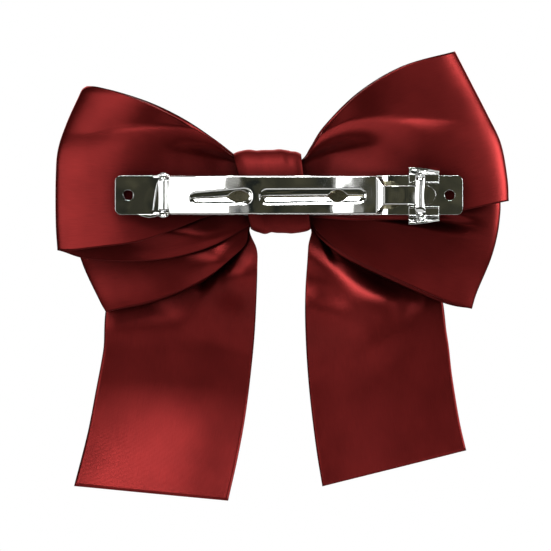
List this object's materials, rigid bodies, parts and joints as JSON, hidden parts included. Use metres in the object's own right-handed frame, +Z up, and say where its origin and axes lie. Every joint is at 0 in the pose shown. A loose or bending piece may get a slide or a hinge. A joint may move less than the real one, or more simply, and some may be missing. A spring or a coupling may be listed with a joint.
{
  "type": "hair bow",
  "caption": "Double-loop satin ribbon hair bow with long tails and a wrapped knot, on a sprung metal clip with a hinged clasp arm and squeeze latch.",
  "frame": {"origin": "middle of the gap between the clasp arm and the spring strip, where the hair is held", "axes": "+Z up as the bow is worn, -Y towards the head (the clip side), +Y towards the show side, +X to the right seen from the clip side, along the clip towards its latch"},
  "size_m": [0.105, 0.0272, 0.1039],
  "materials": {
    "satin_ribbon": "satin",
    "thread": "matt",
    "chrome_plate": "polished",
    "spring_steel": "satin"
  },
  "bodies": {
    "bow": {"base_plate": "chrome_plate", "hinge_pin": "chrome_plate", "tension_spring": "spring_steel", "latch_bracket": "chrome_plate", "knot_band": "satin_ribbon", "gathering_thread": "thread", "upper_loop_left": "satin_ribbon", "upper_loop_right": "satin_ribbon", "lower_loop_left": "satin_ribbon", "lower_loop_right": "satin_ribbon", "tail_left": "satin_ribbon", "tail_right": "satin_ribbon"},
    "clasp_arm": {"clasp_arm": "chrome_plate"},
    "latch_upper": {"latch_lever_upper": "chrome_plate"},
    "latch_lower": {"latch_lever_lower": "chrome_plate"}
  },
  "joints": [
    {"name": "arm_hinge", "type": "hinge", "parent": "bow", "child": "clasp_arm", "pos_m": [-0.0289, 0.0001, 0], "axis": [0, 0, -1], "range_deg": [0, 85]},
    {"name": "latch_press_upper", "type": "hinge", "parent": "bow", "child": "latch_upper", "pos_m": [0.03105, 0.0012, 0.0036], "axis": [1, 0, 0], "range_deg": [0, 10], "stiffness_Nm_per_rad": 0.05},
    {"name": "latch_press_lower", "type": "hinge", "parent": "bow", "child": "latch_lower", "pos_m": [0.03105, 0.0012, -0.0036], "axis": [-1, 0, 0], "range_deg": [0, 10], "stiffness_Nm_per_rad": 0.05}
  ]
}
